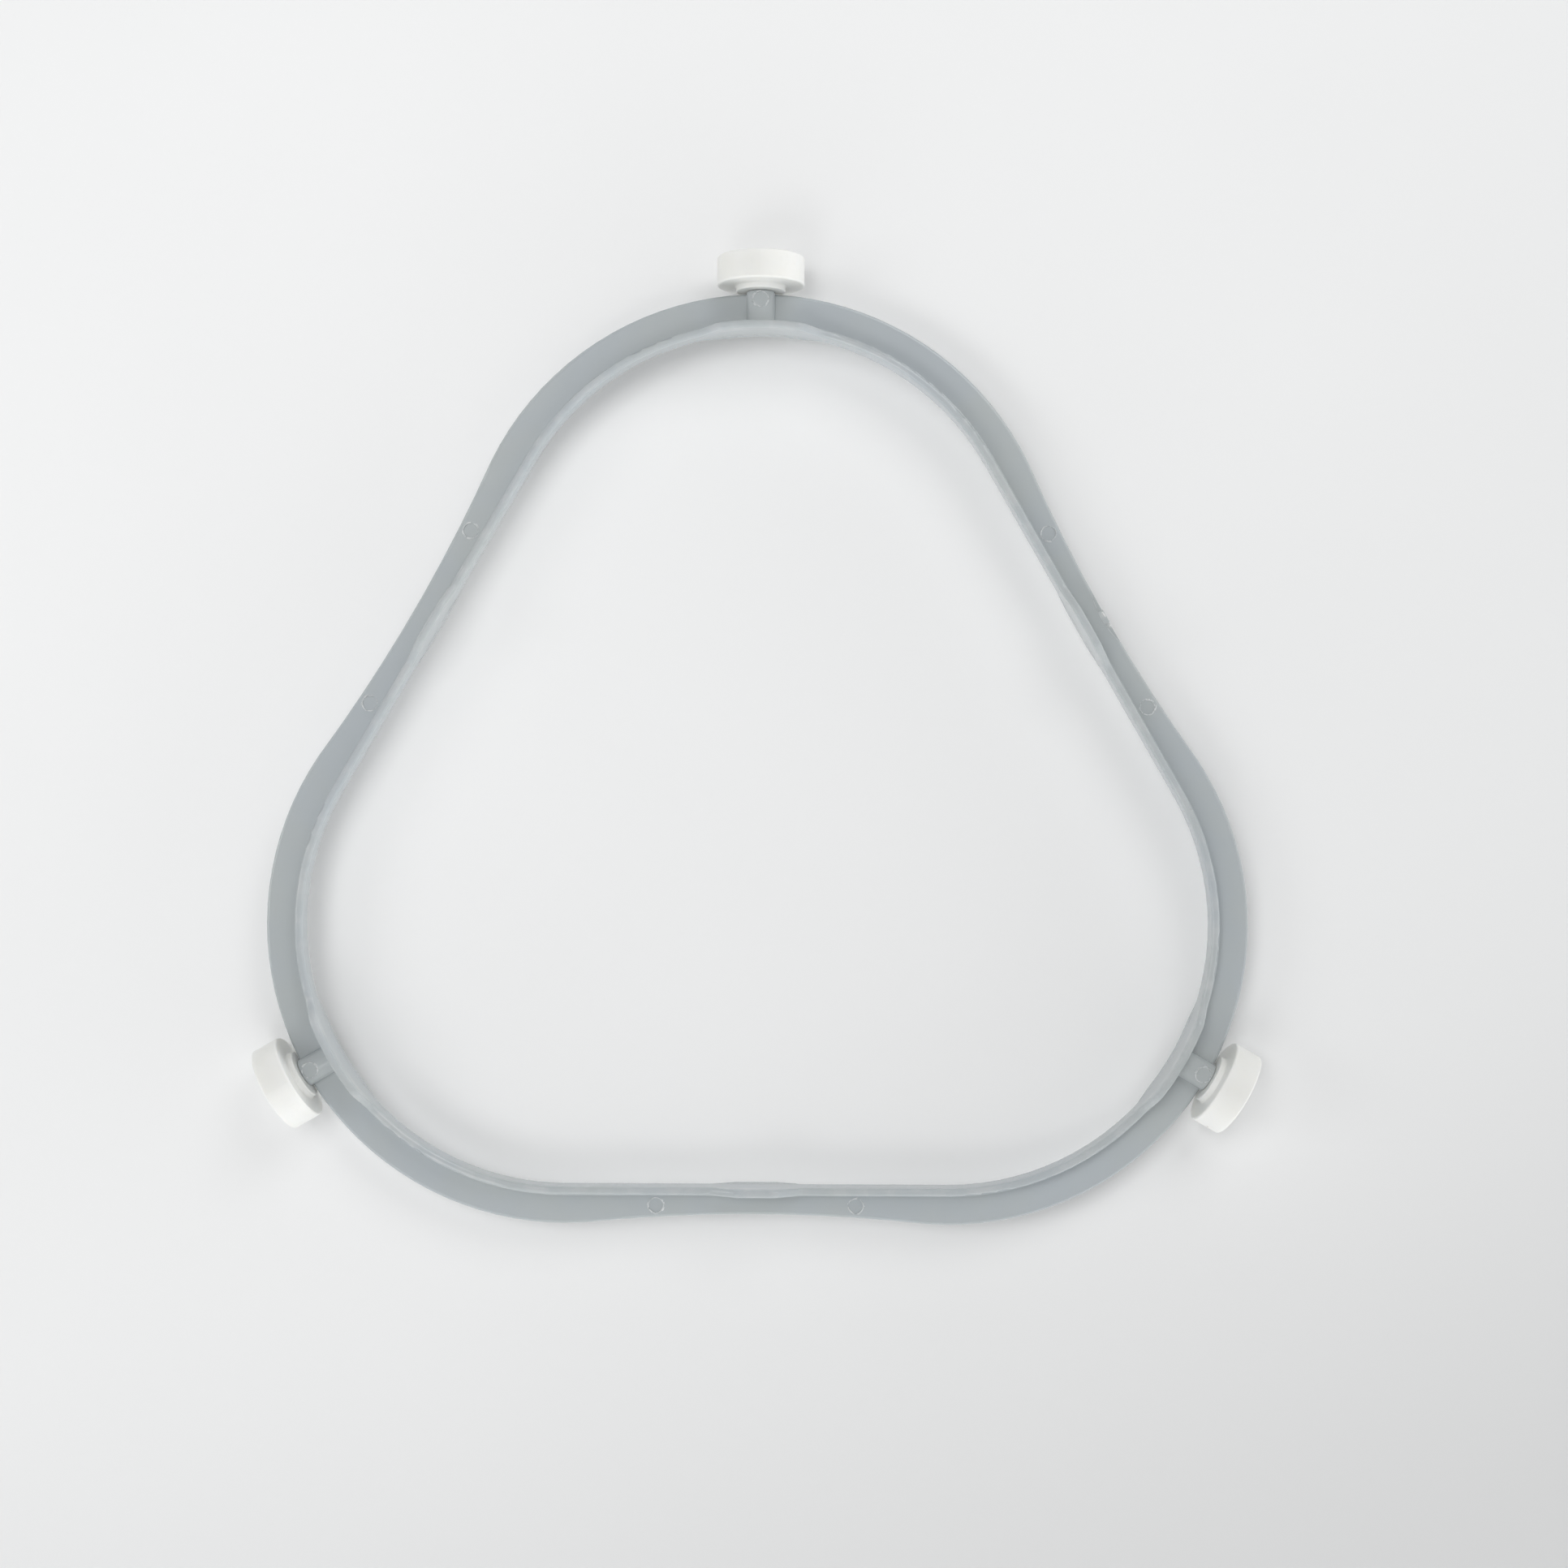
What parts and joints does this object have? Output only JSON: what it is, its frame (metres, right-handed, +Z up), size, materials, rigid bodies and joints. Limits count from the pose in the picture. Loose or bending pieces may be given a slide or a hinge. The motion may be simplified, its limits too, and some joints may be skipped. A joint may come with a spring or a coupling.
{
  "type": "microwave roller ring",
  "caption": "Rounded triangular plastic ring with an upright inner rib and free rollers at its lobes, which carries a microwave oven's glass tray as it turns.",
  "frame": {"origin": "on the oven floor, below the ring's centre, where the rollers' axes cross", "axes": "+Z up to the glass tray, +Y out to the back roller, +X to the right roller's side"},
  "size_m": [0.1658, 0.1594, 0.0144],
  "materials": {
    "ring_plastic": "satin moulded, light blue-grey",
    "roller_plastic": "satin moulded, warm white"
  },
  "bodies": {
    "ring": {"ring_frame": "ring_plastic"},
    "back_roller": {"roller_back": "roller_plastic"},
    "left_roller": {"roller_left": "roller_plastic"},
    "right_roller": {"roller_right": "roller_plastic"}
  },
  "joints": [
    {"name": "back_roller_spin", "type": "hinge", "parent": "ring", "child": "back_roller", "pos_m": [0, 0.0894, 0.0072], "axis": [0, 1, 0], "continuous": true},
    {"name": "left_roller_spin", "type": "hinge", "parent": "ring", "child": "left_roller", "pos_m": [-0.07742, -0.0447, 0.0072], "axis": [-0.866, -0.5, 0], "continuous": true},
    {"name": "right_roller_spin", "type": "hinge", "parent": "ring", "child": "right_roller", "pos_m": [0.07742, -0.0447, 0.0072], "axis": [0.866, -0.5, 0], "continuous": true}
  ]
}
